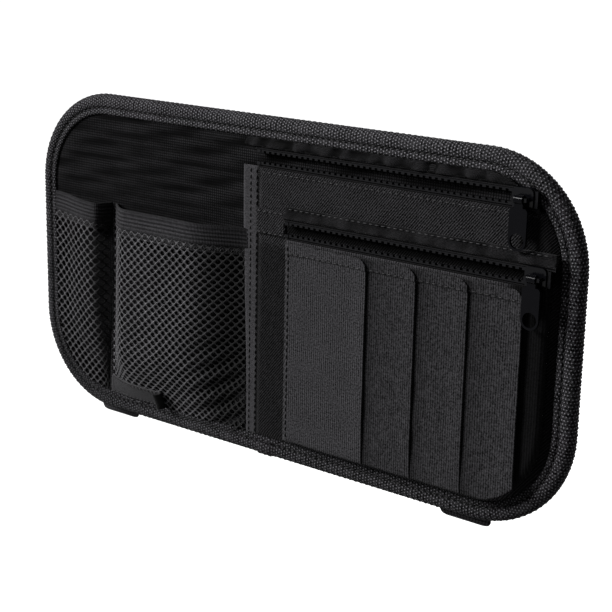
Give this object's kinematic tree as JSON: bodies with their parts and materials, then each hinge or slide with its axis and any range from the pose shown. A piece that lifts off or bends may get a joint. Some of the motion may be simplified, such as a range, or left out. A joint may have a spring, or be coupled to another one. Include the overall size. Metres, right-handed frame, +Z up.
{
  "type": "sun visor organiser",
  "caption": "Flat organiser panel that straps round a car sun visor, with net pockets under elastic bands, stacked card slots and two zipped pockets whose sliders carry hinged pulls.",
  "frame": {"origin": "Middle of the back cover, on the face that lies against the sun visor.", "axes": "+X runs to the right along the panel as its pockets are faced, +Y out of the back towards the visor, +Z up."},
  "size_m": [0.305, 0.0329, 0.164],
  "materials": {
    "air_mesh": "open knitted black mesh",
    "binding_tape": "ribbed black tape",
    "board": "matt grey board",
    "dark_metal": "black painted",
    "elastic_band": "ribbed black elastic",
    "foam": "matt black foam",
    "glossy_metal": "gloss black painted",
    "hook_and_loop": "black hook and loop tape",
    "panel_fabric": "matt black twill",
    "pocket_fabric": "finely ribbed charcoal cloth",
    "smooth_patch": "smooth black patch",
    "webbing": "black woven webbing",
    "zip_coil": "black moulded coil",
    "zip_tape": "herringbone black tape"
  },
  "bodies": {
    "organiser": {"back_cover": "panel_fabric", "cable_pocket_elastic": "elastic_band", "cable_pocket_mesh": "air_mesh", "card_slot_panel_1": "pocket_fabric", "card_slot_panel_2": "pocket_fabric", "card_slot_panel_3": "pocket_fabric", "card_slot_panel_4": "pocket_fabric", "centre_seam_tape": "binding_tape", "corner_patch": "smooth_patch", "divider_tape": "binding_tape", "edge_binding": "binding_tape", "foam_pad": "foam", "front_lining": "panel_fabric", "left_loop_patch": "hook_and_loop", "left_strap_anchor": "webbing", "lower_pocket_front": "pocket_fabric", "lower_zip_back_stop": "dark_metal", "lower_zip_back_tape": "zip_tape", "lower_zip_back_teeth": "zip_coil", "lower_zip_bottom_stop": "dark_metal", "lower_zip_flap": "pocket_fabric", "lower_zip_front_stop": "dark_metal", "lower_zip_front_tape": "zip_tape", "lower_zip_front_teeth": "zip_coil", "phone_pocket_elastic": "elastic_band", "phone_pocket_mesh": "air_mesh", "right_loop_patch": "hook_and_loop", "right_strap_anchor": "webbing", "stiffener_board": "board", "top_facing": "pocket_fabric", "upper_pocket_front": "panel_fabric", "upper_zip_back_stop": "dark_metal", "upper_zip_back_tape": "zip_tape", "upper_zip_back_teeth": "zip_coil", "upper_zip_bottom_stop": "dark_metal", "upper_zip_front_stop": "dark_metal", "upper_zip_front_tape": "zip_tape", "upper_zip_front_teeth": "zip_coil", "zip_end_tab": "binding_tape"},
    "upper_slider": {"upper_zip_slider": "glossy_metal"},
    "lower_slider": {"lower_zip_slider": "glossy_metal"},
    "upper_pull": {"upper_zip_pull": "glossy_metal"},
    "lower_pull": {"lower_zip_pull": "glossy_metal"},
    "left_strap_hanging": {"left_strap": "webbing", "left_hook_patch": "hook_and_loop"},
    "right_strap_hanging": {"right_strap": "webbing", "right_hook_patch": "hook_and_loop"}
  },
  "joints": [
    {"name": "upper_zip_slide", "type": "slide", "parent": "organiser", "child": "upper_slider", "axis": [-1, 0, 0], "range_m": [0, 0.1278]},
    {"name": "lower_zip_slide", "type": "slide", "parent": "organiser", "child": "lower_slider", "axis": [-1, 0, 0], "range_m": [0, 0.1185]},
    {"name": "upper_pull_hinge", "type": "hinge", "parent": "upper_slider", "child": "upper_pull", "pos_m": [0.12585, -0.01185, 0.0614], "axis": [-1, 0, 0], "range_deg": [0, 160]},
    {"name": "lower_pull_hinge", "type": "hinge", "parent": "lower_slider", "child": "lower_pull", "pos_m": [0.13505, -0.01455, 0.0318], "axis": [-1, 0, 0], "range_deg": [0, 160]},
    {"name": "left_strap_fold", "type": "hinge", "parent": "organiser", "child": "left_strap_hanging", "pos_m": [-0.109, 0.0008, 0.055], "axis": [1, 0, 0], "range_deg": [0, 110]},
    {"name": "right_strap_fold", "type": "hinge", "parent": "organiser", "child": "right_strap_hanging", "pos_m": [0.099, 0.0008, 0.055], "axis": [1, 0, 0], "range_deg": [0, 110]}
  ]
}
